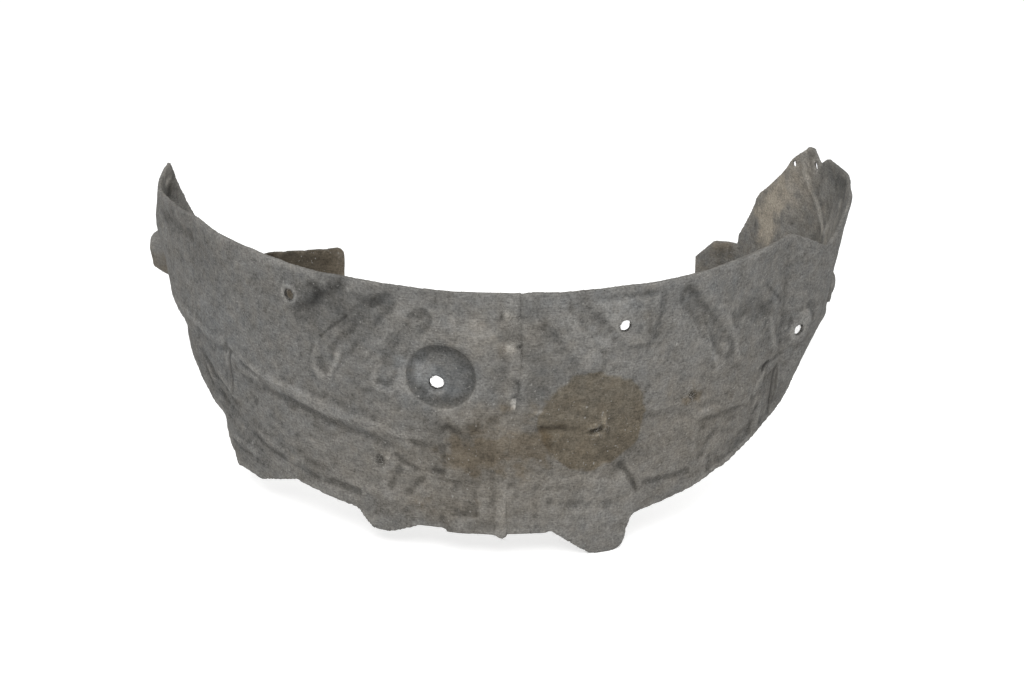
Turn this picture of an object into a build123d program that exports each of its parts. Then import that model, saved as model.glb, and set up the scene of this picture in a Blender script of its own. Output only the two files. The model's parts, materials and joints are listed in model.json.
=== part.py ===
"""Rear wheel arch liner of moulded needle felt: two half shells, lapped and spot-welded at the crown.

The liner stands on its inner edge, with the wheel axis upright and the crown towards -Y.
Bearings are degrees round the wheel axis from the crown, positive towards +X, the rear of the car.
Heights are millimetres above the surface that the liner stands on.
"""

import os
from math import atan2, cos, degrees, hypot, radians, sin

from build123d import *

# Arch
arch_radius = 365.0
felt = 4.0
rim_height = 298.0
trim_allowance = 42.0
lower_edge_height = 29.5
lower_edge_slope = 17.8
scoop_top = 137.0
scoop_knee_back = 50.0
scoop_knee_height = 116.0
scoop_back = 126.0

# Ends of the arch
tail_face = 195.0
tail_bend = 30.0
tail_corner = 9.0
tail_trim = 12.0
front_tail_tip = -203.0
front_tail_length = 106.0
front_tail_height = 92.0
front_tail_rise = 9.0
rear_tail_tip = 260.0
rear_tail_height = 124.0
rear_tail_bevel = 22.0
front_rim_fall = -200.0
front_dip_reach = -55.0
front_dip_drop = 17.0
front_end_reach = -4.0
front_end_drop = 12.0
front_end_slope = 57.0
rear_end_reach = 60.0
rear_shoulder_reach = 149.0
rear_shoulder_drop = 88.0
rear_foot_drop = 160.0

# Flares of the two ends
flare_back = 150.0
front_flare_bearing = -82.0
front_flare_set_back = 225.0
front_flare_center = arch_radius - front_flare_set_back
front_flare_radius = 241.0
front_flare_start = 140.0
front_flare_knee = 178.0
front_flare_knee_rise = 14.0
front_flare_rise = 17.0
rear_flare_bearing = 80.0
rear_flare_set_back = 161.0
rear_flare_center = arch_radius - rear_flare_set_back
rear_flare_radius = 197.0
rear_flare_start = 102.0
rear_flare_knee = 155.0
rear_flare_knee_rise = 17.0
rear_flare_rise = 38.0

# Bosses of the two ends: bearing, height, radius and rise
front_boss = (-90.0, 177.0, 38.0, 40.0)
rear_boss = (83.0, 173.0, 30.0, 29.0)
boss_corner = 9.0

# Rim of the rear end
dip_front = -200.0
dip_middle = -160.0
dip_back = -118.0
dip_depth = 30.0
slit_reach = 37.0
slit_width = 12.0
slit_depth = 13.0

# Lapped seam, its line as distances beside the seam bearing and heights
seam_bearing = 3.8
seam_line = ((2.0, 298.0), (5.0, 223.0), (-7.0, 119.0), (-6.0, 30.0))
lap_length = 20.0
lap_gap = 0.25
joggle_length = 11.0
joggle_clearance = 1.0

# Stiffening bead and channels, each from its upper to its lower end
bead_width = 22.0
bead_rise = 3.0
bead = ((9.0, 284.0), (15.5, 224.0))
channel_width = 24.0
channel_depth = 3.0
front_channel = ((-16.0, 279.0), (-26.2, 200.0))
dish_channel = ((-10.5, 266.0), (-16.2, 201.0))
rear_channel = ((31.5, 274.0), (41.2, 200.0))

# Sunk dish
dish_bearing = -7.5
dish_height = 206.0
dish_radius = 36.0
dish_depth = 8.0

# Raised pads of the rear half
hole_pad_bearing = 20.5
hole_pad_height = 261.0
hole_pad_width = 76.0
hole_pad_tall = 48.0
hole_pad_foot = (5.0, 30.0)
hole_pad_rise = 3.0
oval_pad_facing = 40.3
oval_pad_height = 186.0
oval_pad_width = 34.0
oval_pad_tall = 42.0
oval_pad_lean = 15.0
oval_pad_rise = 3.0

# Stepped bands, grooves and pockets above the lower edge, each between two bearings
band_depth = 4.0
upper_band_lift = 102.0
upper_band = (-49.0, -6.5)
lower_band_height = 48.0
lower_band_slope = 27.0
lower_band = (-78.0, -21.0)
front_groove_height = 52.0
front_groove_slope = 19.4
front_groove = (-61.0, -21.0)
groove_width = 9.0
groove_depth = 7.5
rear_pocket_foot = 4.0
low_pocket_lift = 27.0
low_pocket = (38.5, 50.5)
end_pocket_lift = 68.0
end_pocket = (52.5, 56.5)
ledge_height = 131.0
ledge_depth = 2.5
ledge = (36.0, 50.0)
rear_groove_height = 78.0
rear_groove = (25.5, 34.5)
step_softness = 0.8

# Trapezoid recess in front of the seam
recess_bearing = -6.6
recess_height = 71.0
recess_width = 66.0
recess_tall = 42.0
recess_depth = 4.0
recess_slant = 9.0

# Tongues on the lower edge: bearing, height and width of the tip, slopes of the front and rear sides
large_tongue = (19.2, 0.0, 29.0, 38.0, 68.0)
middle_tongue = (-17.4, 20.0, 20.0, 49.0, 23.0)
outer_tongue = (-46.1, 28.0, 46.0, 68.0, 22.0)
tongue_corner = 12.0
tongue_lift = 60.0

# Fixing holes
dish_hole_aside = -4.5
dish_hole_up = -9.0
dish_hole = 13.0
pad_hole_up = -3.0
pad_hole = 10.5
front_hole_bearing = -32.7
front_hole_drop = 32.0
front_hole = 10.0
rear_hole_aside = -4.5
rear_hole_up = -2.0
rear_hole = 11.0

# Mould draft and spare length of cutting tools
draft = 25.0
root = 12.0
reach = 40.0
blank_height = rim_height + trim_allowance


def arc_length(bearing):
    """Distance along the body-side face from the crown."""
    return arch_radius * radians(bearing)


def on_arch(bearing, height, radius):
    """Plane facing out from the wheel axis, its X along the arch and its Y up."""
    turn = radians(bearing)
    return Plane(
        origin=(radius * sin(turn), -radius * cos(turn), height),
        x_dir=(cos(turn), sin(turn), 0),
        z_dir=(sin(turn), -cos(turn), 0),
    )


def tilted_plane(height, slope):
    """Plane through a height at the crown, sloping up towards the back."""
    turn = radians(slope)
    return Plane(origin=(0, -arch_radius, height), x_dir=(1, 0, 0), z_dir=(0, -sin(turn), cos(turn)))


def edge_plane(lift):
    """Plane parallel to the cut of the lower edge, lifted above it at the crown."""
    return tilted_plane(lower_edge_height + lift, lower_edge_slope)


def ring_sector(inner, outer, start, end, height):
    """Upright sector of a ring between two bearings."""
    first = on_arch(start, 0, 2 * outer).origin
    last = on_arch(end, 0, 2 * outer).origin
    with BuildPart() as sector:
        with BuildSketch():
            Circle(outer)
            Circle(inner, mode=Mode.SUBTRACT)
            with BuildLine():
                Polyline((0, 0), (first.X, first.Y), (last.X, last.Y), close=True)
            make_face(mode=Mode.INTERSECT)
        extrude(amount=height)
    return sector.part


def slot_seat(ends):
    """Plane under the middle of a slot between two places on the arch, with the slot's length and turn."""
    (upper_bearing, upper_height), (lower_bearing, lower_height) = ends
    along = arc_length(upper_bearing - lower_bearing)
    up = upper_height - lower_height
    middle_bearing = (upper_bearing + lower_bearing) / 2
    middle_height = (upper_height + lower_height) / 2
    seat = on_arch(middle_bearing, middle_height, arch_radius - root)
    return seat, hypot(along, up), degrees(atan2(up, along))


def raised_bead(inset):
    """Slot-shaped bead beside the seam."""
    seat, length, turn = slot_seat(bead)
    spread = 2 * root * sin(radians(draft))
    with BuildPart() as ridge:
        with BuildSketch(seat):
            SlotCenterToCenter(length, bead_width + spread - 2 * inset, rotation=turn)
        extrude(amount=root + bead_rise, taper=draft)
        with BuildSketch():
            Circle(arch_radius + bead_rise - inset)
        extrude(amount=blank_height, mode=Mode.INTERSECT)
    return ridge.part


def sunk_channel(ends, inset):
    """Slot-shaped channel of even depth between two places on the arch."""
    seat, length, turn = slot_seat(ends)
    spread = 2 * root * sin(radians(draft))
    with BuildPart() as channel:
        with BuildSketch(seat):
            SlotCenterToCenter(length, channel_width - spread + 2 * inset, rotation=turn)
        extrude(amount=root + reach, taper=-draft)
        with BuildSketch():
            Circle(arch_radius - channel_depth - inset)
        extrude(amount=blank_height, mode=Mode.SUBTRACT)
    return channel.part


def raised_boss(bearing, height, radius, rise, inset):
    """Round drafted boss with a soft top edge."""
    with BuildPart() as boss:
        with BuildSketch(on_arch(bearing, height, arch_radius - root)):
            Circle(radius + root * sin(radians(draft)) - inset)
        extrude(amount=root + rise - inset, taper=draft)
        outward = Axis((0, 0, 0), on_arch(bearing, height, arch_radius).z_dir)
        fillet(boss.faces().sort_by(outward)[-1].edges(), boss_corner - inset)
    return boss.part


def oval_plane():
    """Seat of the rear fixing hole on the round of the rear flare, facing out from its middle."""
    turn = radians(oval_pad_facing)
    outward = Vector(sin(turn), -cos(turn), 0)
    middle = on_arch(rear_flare_bearing, oval_pad_height, rear_flare_center).origin
    return Plane(
        origin=middle + outward * rear_flare_radius,
        x_dir=(cos(turn), sin(turn), 0),
        z_dir=outward,
    )


def raised_oval(inset):
    """Leaning oval pad round the fixing hole of the rear end."""
    spread = 2 * root * sin(radians(draft))
    long_side = oval_pad_tall + spread - 2 * inset
    short_side = oval_pad_width + spread - 2 * inset
    with BuildPart() as oval:
        with BuildSketch(oval_plane().offset(-root)):
            SlotOverall(long_side, short_side, rotation=90 - oval_pad_lean)
        extrude(amount=root + oval_pad_rise - inset, taper=draft)
    return oval.part


def end_flare(bearing, center, radius, start, knee, knee_rise, rise, inset):
    """Conical flare of one end, where a smaller round of the plan stands out of the arch."""
    middle = on_arch(bearing, 0, center).origin
    wall = arch_radius - inset
    with BuildPart() as flare:
        with BuildSketch():
            with Locations((middle.X, middle.Y)):
                Circle(radius - inset)
            with Locations((0, flare_back - 2 * arch_radius)):
                Rectangle(4 * arch_radius, 4 * arch_radius, mode=Mode.INTERSECT)
        extrude(amount=blank_height)
        with BuildSketch(Plane.XZ):
            with BuildLine():
                Polyline(
                    (0, start),
                    (wall, start),
                    (wall + knee_rise, knee),
                    (wall + rise, blank_height),
                    (0, blank_height),
                    close=True,
                )
            make_face()
        revolve(axis=Axis.Z, mode=Mode.INTERSECT)
    return flare.part


def front_flare(inset):
    """Flare of the front end."""
    return end_flare(
        front_flare_bearing,
        front_flare_center,
        front_flare_radius,
        front_flare_start,
        front_flare_knee,
        front_flare_knee_rise,
        front_flare_rise,
        inset,
    )


def rear_flare(inset):
    """Flare of the rear end."""
    return end_flare(
        rear_flare_bearing,
        rear_flare_center,
        rear_flare_radius,
        rear_flare_start,
        rear_flare_knee,
        rear_flare_knee_rise,
        rear_flare_rise,
        inset,
    )


def raised_hole_pad(inset):
    """Three-cornered pad round the through hole of the rear half."""
    half = hole_pad_width / 2 - inset
    tall = hole_pad_tall / 2 - inset
    foot_start = hole_pad_foot[0] + inset
    foot_end = hole_pad_foot[1] - inset
    with BuildPart() as pad:
        with BuildSketch(on_arch(hole_pad_bearing, hole_pad_height, arch_radius - root)):
            with BuildLine():
                Polyline((-half, tall), (half, tall), (foot_end, -tall), (foot_start, -tall), close=True)
            make_face()
        extrude(amount=root + hole_pad_rise)
        with BuildSketch():
            Circle(arch_radius + hole_pad_rise - inset)
        extrude(amount=blank_height, mode=Mode.INTERSECT)
    return pad.part


def sunk_dish(inset):
    """Flat-bottomed dish with a drafted wall."""
    floor_radius = dish_radius - dish_depth * sin(radians(draft)) + inset
    with BuildPart() as dish:
        with BuildSketch(on_arch(dish_bearing, dish_height, arch_radius - dish_depth - inset)):
            Circle(floor_radius)
        extrude(amount=dish_depth + reach, taper=-draft)
    return dish.part


def sunk_recess(inset):
    """Trapezoid recess between the lower edge and the dish, in front of the seam."""
    half = recess_width / 2 + inset
    tall = recess_tall / 2 + inset
    with BuildPart() as recess:
        with BuildSketch(on_arch(recess_bearing, recess_height, arch_radius - recess_depth - inset)):
            with BuildLine():
                Polyline((-half, -tall), (half, -tall), (half, tall), (recess_slant - half, tall), close=True)
            make_face()
        extrude(amount=recess_depth + reach, taper=-draft)
    return recess.part


def sunk_band(top, bottom, depth, bearings, inset):
    """Step or groove between two planes and two bearings, with a soft upper edge."""
    spread = degrees(inset / arch_radius)
    start = bearings[0] - spread
    end = bearings[1] + spread
    with BuildPart() as band:
        add(ring_sector(arch_radius - depth - inset, arch_radius + reach, start, end, blank_height))
        split(bisect_by=top.offset(inset), keep=Keep.BOTTOM)
        split(bisect_by=bottom.offset(-inset), keep=Keep.TOP)
        inner_face = band.faces().filter_by(GeomType.CYLINDER).sort_by(SortBy.AREA)[0]
        chamfer(inner_face.edges().sort_by(Axis.Z)[-1], step_softness * depth)
    return band.part


def sunk_bands(inset):
    """All steps, grooves and pockets above the lower edge."""
    below = edge_plane(-reach)
    lower_top = tilted_plane(lower_band_height, lower_band_slope)
    pocket_foot = edge_plane(rear_pocket_foot)
    front_top = tilted_plane(front_groove_height, front_groove_slope)
    rear_top = Plane.XY.offset(rear_groove_height)
    return [
        sunk_band(edge_plane(upper_band_lift), below, band_depth, upper_band, inset),
        sunk_band(lower_top, below, band_depth, lower_band, inset),
        sunk_band(front_top, front_top.offset(-groove_width), groove_depth, front_groove, inset),
        sunk_band(edge_plane(low_pocket_lift), pocket_foot, band_depth, low_pocket, inset),
        sunk_band(edge_plane(end_pocket_lift), pocket_foot, band_depth, end_pocket, inset),
        sunk_band(Plane.XY.offset(ledge_height), edge_plane(low_pocket_lift), ledge_depth, ledge, inset),
        sunk_band(rear_top, rear_top.offset(-groove_width), ledge_depth, rear_groove, inset),
    ]


def mould_form(inset):
    """Solid inside the body-side face, or inside the wheel-side face with the felt as inset."""
    raised = [raised_bead(inset), raised_hole_pad(inset), raised_oval(inset)]
    raised.extend((front_flare(inset), rear_flare(inset)))
    raised.extend(raised_boss(*sizes, inset) for sizes in (front_boss, rear_boss))
    sunk = [sunk_dish(inset), sunk_recess(inset)] + sunk_bands(inset)
    sunk.extend(sunk_channel(ends, inset) for ends in (front_channel, dish_channel, rear_channel))
    with BuildPart() as form:
        with BuildSketch() as plan:
            Circle(arch_radius - inset)
            with Locations((0, tail_face - inset - arch_radius)):
                Rectangle(3 * arch_radius, 2 * arch_radius, mode=Mode.INTERSECT)
            fillet(plan.vertices(), tail_bend - inset)
        extrude(amount=blank_height)
        for part in raised:
            add(part)
        for part in sunk:
            add(part, mode=Mode.SUBTRACT)
    return form.part


def tongue(bearing, tip_height, tip_width, front_slope, rear_slope):
    """Radial prism that keeps a tongue of the lower edge."""
    front_run = tongue_lift * cos(radians(front_slope)) / sin(radians(front_slope))
    rear_run = tongue_lift * cos(radians(rear_slope)) / sin(radians(rear_slope))
    with BuildPart() as prism:
        with BuildSketch(on_arch(bearing, tip_height, arch_radius - reach)) as face:
            with BuildLine():
                Polyline(
                    (-tip_width / 2, 0),
                    (tip_width / 2, 0),
                    (tip_width / 2 + rear_run, tongue_lift),
                    (-tip_width / 2 - front_run, tongue_lift),
                    close=True,
                )
            make_face()
            fillet(face.vertices().group_by(Axis.Z)[0], tongue_corner)
        extrude(amount=2 * reach)
    return prism.part


def lower_edge_cut():
    """Material below the lower edge, which arches up at both sides and leaves the tongues."""
    tongues = [tongue(*sizes) for sizes in (large_tongue, middle_tongue, outer_tongue)]
    slope = radians(lower_edge_slope)
    apex = (scoop_top - lower_edge_height) * cos(slope) / sin(slope) - arch_radius
    front_drop = reach * sin(slope) / cos(slope)
    with BuildPart() as cut:
        with BuildSketch(Plane.YZ):
            with BuildLine():
                Polyline(
                    (-arch_radius - reach, -reach),
                    (-arch_radius - reach, lower_edge_height - front_drop),
                    (apex, scoop_top),
                    (scoop_knee_back, scoop_knee_height),
                    (scoop_back, 0),
                    (scoop_back, -reach),
                    close=True,
                )
            make_face()
        extrude(amount=2 * arch_radius, both=True)
        for part in tongues:
            add(part, mode=Mode.SUBTRACT)
    return cut.part


def front_top_cut():
    """Material above the rim and the slanted end of the front half."""
    end_height = rim_height - front_end_drop
    run = (end_height - front_tail_height) * cos(radians(front_end_slope)) / sin(radians(front_end_slope))
    with BuildPart() as cut:
        with BuildSketch(Plane.YZ.offset(reach)):
            with BuildLine():
                Polyline(
                    (-2 * arch_radius, rim_height),
                    (front_rim_fall, rim_height),
                    (front_dip_reach, rim_height - front_dip_drop),
                    (front_end_reach, end_height),
                    (front_end_reach + run, front_tail_height),
                    (tail_front, front_tail_height),
                    (tail_front, 2 * blank_height),
                    (-2 * arch_radius, 2 * blank_height),
                    close=True,
                )
            make_face()
        extrude(amount=-2 * arch_radius)
    return cut.part


def rear_top_cut():
    """Material above the rim, which dips and is slit at the rear end, and above the slanted end."""
    with BuildPart() as cut:
        with BuildSketch(Plane.YZ):
            with BuildLine():
                Polyline(
                    (-2 * arch_radius, rim_height),
                    (dip_front, rim_height),
                    (dip_middle, rim_height - dip_depth),
                    (dip_back, rim_height),
                    (slit_reach - slit_width, rim_height),
                    (slit_reach, rim_height - slit_depth),
                    (slit_reach + slit_width, rim_height),
                    (rear_end_reach, rim_height),
                    (rear_shoulder_reach, rim_height - rear_shoulder_drop),
                    (tail_front, rim_height - rear_foot_drop),
                    (tail_front, 2 * blank_height),
                    (-2 * arch_radius, 2 * blank_height),
                    close=True,
                )
            make_face()
        extrude(amount=2 * arch_radius)
    return cut.part


def back_opening():
    """Gap between the two in-turned tails, and above their sloping tops."""
    front_top = front_tail_height + front_tail_rise
    with BuildPart() as gap:
        with BuildSketch(Plane.XZ.offset(-tail_front)) as back:
            with BuildLine():
                Polyline(
                    (-arch_radius, front_tail_height),
                    (front_tail_tip - front_tail_length, front_tail_height),
                    (front_tail_tip, front_top),
                    (front_tail_tip, -reach),
                    (rear_tail_tip, -reach),
                    (rear_tail_tip, rear_tail_height - rear_tail_bevel),
                    (rear_tail_tip + rear_tail_bevel, rear_tail_height),
                    (arch_radius, rear_tail_height),
                    (arch_radius, 2 * blank_height),
                    (-arch_radius, 2 * blank_height),
                    close=True,
                )
            make_face()
            fillet(back.vertices().sort_by_distance((front_tail_tip, tail_front, front_top))[0], tail_corner)
        extrude(amount=-reach)
    return gap.part


def hole_tool(plane, aside, up, diameter):
    """Cylinder that drills a fixing hole square to a plane."""
    with BuildPart() as tool:
        with BuildSketch(plane.offset(-reach)):
            with Locations((aside, up)):
                Circle(diameter / 2)
        extrude(amount=2 * reach)
    return tool.part


def seam_side(gap, side):
    """Radial prism over one side of the wavy seam line, -1 for the front and 1 for the rear."""
    far = side * 2 * arch_radius
    line = [(aside + gap, height) for aside, height in seam_line]
    with BuildPart() as prism:
        with BuildSketch(on_arch(seam_bearing, 0, 0)):
            with BuildLine():
                Polyline(
                    (line[0][0], 2 * blank_height),
                    *line,
                    (line[-1][0], -reach),
                    (far, -reach),
                    (far, 2 * blank_height),
                    close=True,
                )
            make_face()
        extrude(amount=2 * arch_radius, both=True)
    return prism.part


tail_front = tail_face - tail_trim
body_side = mould_form(0)
wheel_side = mould_form(felt)
under_edge = lower_edge_cut()
lap_outer = arch_radius - felt - lap_gap
lap_start = seam_bearing - degrees(lap_length / arch_radius)
seam_swing = max(aside for aside, height in seam_line) + joggle_clearance
joggle_start = seam_bearing + degrees(seam_swing / arch_radius)
lap_end = joggle_start + degrees(joggle_length / arch_radius)
lap_strip = ring_sector(lap_outer - felt, lap_outer, lap_start, lap_end, rim_height)
joggle = ring_sector(lap_outer - felt, arch_radius - felt / 2, joggle_start, lap_end, rim_height)
dish_plane = on_arch(dish_bearing, dish_height, arch_radius)
pad_plane = on_arch(hole_pad_bearing, hole_pad_height, arch_radius)
front_hole_plane = on_arch(front_hole_bearing, rim_height - front_hole_drop, arch_radius)

with BuildPart() as front_half_shell:
    add(body_side)
    add(wheel_side, mode=Mode.SUBTRACT)
    add(seam_side(0, -1), mode=Mode.INTERSECT)
    add(front_top_cut(), mode=Mode.SUBTRACT)
    add(under_edge, mode=Mode.SUBTRACT)
    add(back_opening(), mode=Mode.SUBTRACT)
    add(hole_tool(dish_plane, dish_hole_aside, dish_hole_up, dish_hole), mode=Mode.SUBTRACT)
    add(hole_tool(front_hole_plane, 0, 0, front_hole), mode=Mode.SUBTRACT)

with BuildPart() as rear_half_shell:
    add(body_side)
    add(wheel_side, mode=Mode.SUBTRACT)
    add(seam_side(lap_gap, 1), mode=Mode.INTERSECT)
    add(joggle)
    add(lap_strip)
    add(rear_top_cut(), mode=Mode.SUBTRACT)
    add(under_edge, mode=Mode.SUBTRACT)
    add(back_opening(), mode=Mode.SUBTRACT)
    add(hole_tool(pad_plane, 0, pad_hole_up, pad_hole), mode=Mode.SUBTRACT)
    add(hole_tool(oval_plane(), rear_hole_aside, rear_hole_up, rear_hole), mode=Mode.SUBTRACT)

front_half_shell.part.label = "front_half_shell"
rear_half_shell.part.label = "rear_half_shell"

os.makedirs("parts", exist_ok=True)
export_step(front_half_shell.part, "parts/front_half_shell.step")
export_step(rear_half_shell.part, "parts/rear_half_shell.step")
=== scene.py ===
"""Looks of the wheel arch liner: two soft needle-felt shells, worn, stained and muddy, with painted shade
and highlights on the moulding.

Places on the felt are bearings round the wheel axis in degrees and heights in millimetres.
"""

import json
from math import cos, pi, radians, sin

import bmesh
import bpy
import numpy as np
from mathutils import Matrix, Vector


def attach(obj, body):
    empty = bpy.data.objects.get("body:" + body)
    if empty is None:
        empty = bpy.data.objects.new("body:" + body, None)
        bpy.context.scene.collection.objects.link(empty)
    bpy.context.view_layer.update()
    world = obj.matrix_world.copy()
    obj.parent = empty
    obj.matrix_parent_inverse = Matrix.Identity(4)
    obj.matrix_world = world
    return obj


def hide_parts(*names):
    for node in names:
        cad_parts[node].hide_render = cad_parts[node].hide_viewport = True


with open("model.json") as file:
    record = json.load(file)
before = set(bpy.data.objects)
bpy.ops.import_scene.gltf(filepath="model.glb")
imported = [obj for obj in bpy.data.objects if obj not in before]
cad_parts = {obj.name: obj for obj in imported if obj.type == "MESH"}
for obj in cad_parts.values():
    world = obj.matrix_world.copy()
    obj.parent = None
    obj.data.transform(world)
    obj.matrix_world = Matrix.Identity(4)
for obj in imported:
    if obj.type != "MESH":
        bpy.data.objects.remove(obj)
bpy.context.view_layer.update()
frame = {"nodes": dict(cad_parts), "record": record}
bores = [mount for mount in frame["record"]["mounts"] if mount["kind"] == "bore"]

# Felt shells, in millimetres
arch_radius = 365.0
voxel = 2.25
seam_line = ((4.1, 298), (4.6, 223), (2.7, 119), (2.9, 30))

# Longer lines, and lines that are moulded and shaded alike
crest_line = ((-47.5, 164), (-38.1, 164), (-31.3, 159), (-25.6, 152), (-20.4, 148), (-13, 137))
crest_foot_line = ((-46, 154), (-38.1, 154), (-31.3, 149), (-25.6, 142), (-20.4, 138), (-13, 127))
hole_valley_line = ((-24, 287), (-27.2, 272), (-31, 252))
first_channel_line = ((-22.5, 257), (-27.1, 230))
second_channel_line = ((-21.9, 254), (-26, 229))
front_channel_end = ((-27.5, 223), (-28.7, 196), (-27.5, 185), (-25.8, 186), (-24, 216))
dish_channel_end = ((-17.2, 211), (-18.2, 192), (-17, 185), (-15.2, 184))
groove_line = ((-60.5, 142), (-57.5, 116), (-53.5, 97), (-47, 88), (-40, 82), (-35, 74.5), (-28, 66))
stain_crease_line = ((7.4, 154), (11, 153), (15.2, 149))
tear_line = ((16.1, 144.6), (17.2, 146), (18, 149))
tear_strip_line = ((18.05, 158), (18.15, 147))
slit_crease_line = ((53.2, 159), (55.9, 159.5), (57.9, 162))
slit_ridge_line = ((51.5, 150), (50.5, 141), (49.5, 131))
wing_crease_line = ((101, 280), (99.8, 262), (97.8, 249), (95.6, 235), (92.5, 212))

# Raised and sunk lines of the felt: places, width and rise
relief_lines = {
    "long crest": (crest_line, 5, 1.2),
    "streak above the front band": (((-66, 174), (-60, 171), (-54, 169), (-51, 173)), 5, 1.4),
    "valley under the streak": (((-66, 156), (-60.3, 140), (-57, 116), (-53, 98)), 9, -1.4),
    "filling of the front groove": (groove_line, 7, 3.6),
    "front end of the upper band": (((-48.5, 156), (-48.5, 118)), 9, 2.8),
    "foot of the long crest": (crest_foot_line, 6, 2.2),
    "fold of the outer tongue": (((-49.5, 64), (-47.8, 60), (-41.8, 59)), 4, 1.6),
    "crack beside the torn spot": (((-14.7, 112), (-13, 105), (-11.3, 99)), 2.4, -1.6),
    "valley right of the front hole": (hole_valley_line, 10, -1.2),
    "rim of the front channel end": (front_channel_end, 2.6, 0.9),
    "rim of the dish channel end": (dish_channel_end, 2.6, 0.8),
    "first line of the front channel": (first_channel_line, 2, -0.4),
    "second line of the front channel": (second_channel_line, 2, -0.3),
    "crease left of the stain": (stain_crease_line, 3.5, -0.6),
    "tear in the stain": (tear_line, 2.4, -2.6),
    "strip beside the tear": (tear_strip_line, 2, 1.2),
    "crease of the large tongue": (((21.3, 103), (22.6, 90), (24.3, 70)), 3, -1.8),
    "rim left of the rear channel": (((35, 236), (36.6, 221), (39, 183)), 3, 1),
    "rim right of the rear channel": (((40.2, 240), (42.4, 215), (43.9, 184)), 3, 1),
    "start of the rear flare": (((50.8, 226), (52.4, 205), (55.1, 171)), 5, 1.4),
    "crease under the rear rim": (((49.6, 258), (52, 244), (55, 227)), 2.6, -0.6),
    "crease from the slit": (slit_crease_line, 2, -0.5),
    "ridge under the slit": (slit_ridge_line, 4, 0.8),
    "faint ledge": (((22, 163), (31.7, 156), (36, 153)), 5, 0.8),
    "rear ledge": (((35.8, 137), (40.9, 136), (47.8, 127)), 5, 1.2),
    "slot below the ledge": (((51, 112), (50.4, 100), (50.2, 86)), 6, -1.3),
    "slanted valley": (((39.9, 108), (38.4, 96), (37.1, 85)), 7, -1.2),
    "rib of the seam foot": (((2.4, 100), (2.3, 60), (2.3, 28)), 3.5, 1.6),
    "ledge above the recess": (((-9, 104), (-3, 108), (3, 115)), 5, 1),
    "valley left of the recess": (((-13.7, 104), (-14.8, 90), (-15.6, 76)), 5, -1.6),
    "corner of the recess": (((-10.4, 89), (-11.6, 80), (-12.8, 70)), 4, -1.4),
    "fold across the large tongue": (((9, 90), (14, 92), (20.6, 78)), 6, 1.2),
    "hollow across the large tongue": (((10, 66), (15.5, 62), (19, 58)), 7, -1.4),
    "valley of the front end": (((-74, 262), (-68, 268), (-61.5, 270)), 10, -2),
    "crease of the wing": (wing_crease_line, 5, -1.8),
    "fold left of the wing": (((115.5, 205), (113.5, 180), (113.8, 150)), 5, -1.8),
}

# Raised and sunk spots of the felt: place, half width, half height and rise
relief_spots = {
    "dip at the end of the crest": ((-49.8, 168), 7, 9, -1.8),
    "dimple of the front band": ((-42.8, 122), 5, 5, -2),
    "head of the front channel": ((-17.6, 279), 14, 8, -1.2),
    "foot of the front channel": ((-26.2, 203), 10, 17, 1.5),
    "foot of the dish channel": ((-16.3, 203), 9, 15, 1.3),
    "foot of the rear channel": ((40.8, 203), 10, 16, 1.2),
    "torn spot left of the recess": ((-17.5, 102), 4, 7, -3.2),
    "lip of the torn spot": ((-15.8, 109), 5, 5, 2),
    "upper weld": ((2.4, 276), 4.5, 4.5, 0.5),
    "lower weld": ((3.1, 242), 4.5, 4.5, 0.5),
    "upper flap of the tear": ((16.2, 150), 6, 3, 1.4),
    "lower flap of the tear": ((16.9, 140.5), 6, 2.5, 1.4),
    "tear of the rear field": ((34, 161), 4, 5, -2.4),
    "slit": ((51.9, 158.4), 6, 3, -2),
    "filling of the rear pocket": ((54.6, 120), 13, 30, 2.4),
    "hollow between the rear ribs": ((47.4, 228), 24, 17, -2.6),
    "corner of the brown patch": ((-6.2, 150), 16, 8, -0.6),
    "dark spot under the dish": ((-7.9, 102), 7, 4, -1.4),
    "facet of the wing": ((88, 282), 30, 34, 2),
    "pocket of the ear": ((-88, 252), 8, 10, 2),
    "swell above the front boss": ((-81, 240), 40, 32, 8.5),
    "fairing under the front boss": ((-87, 150), 24, 16, 9),
    "crown of the front boss": ((-88.5, 186), 26, 22, 2.5),
    "fairing under the rear boss": ((79.5, 148), 22, 20, 5),
    "lower side of the rear boss": ((82, 163), 22, 9, -3),
}

# Spots where the moulding has lost its sharpness: place, half width and half height
blurred_spots = {
    "rear pocket": ((55, 122), 26, 46),
    "end of the upper band": ((-8, 118), 14, 24),
    "upper front groove": ((-57.5, 118), 16, 34),
    "underside of the rear boss": ((79.5, 165), 24, 14),
    "underside of the front boss": ((-87, 165), 24, 14),
}

# Shifts of the outline: place, half size, and shift along the arch and up
edge_shifts = {
    "right corner of the large tongue": ((20.8, 12), 14, 6, 0),
    "tip of the seam foot": ((2.3, 32), 5, 0, -4),
    "left corner of the outer tongue": ((-49.4, 36), 7, 2.5, 2.5),
    "left side of the outer tongue": ((-50, 56), 11, -4, 0),
    "peak of the wing": ((97, 294), 22, 16, 0),
    "left shoulder of the wing": ((103, 281), 20, 0, 6.5),
}

# Punctures of the wing: place and reach, half width and half height
punctures = {
    "round puncture": ((102.9, 269, 364), 2.1, 2.3),
    "long puncture": ((96.1, 282, 379), 1.5, 3.2),
}
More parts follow.
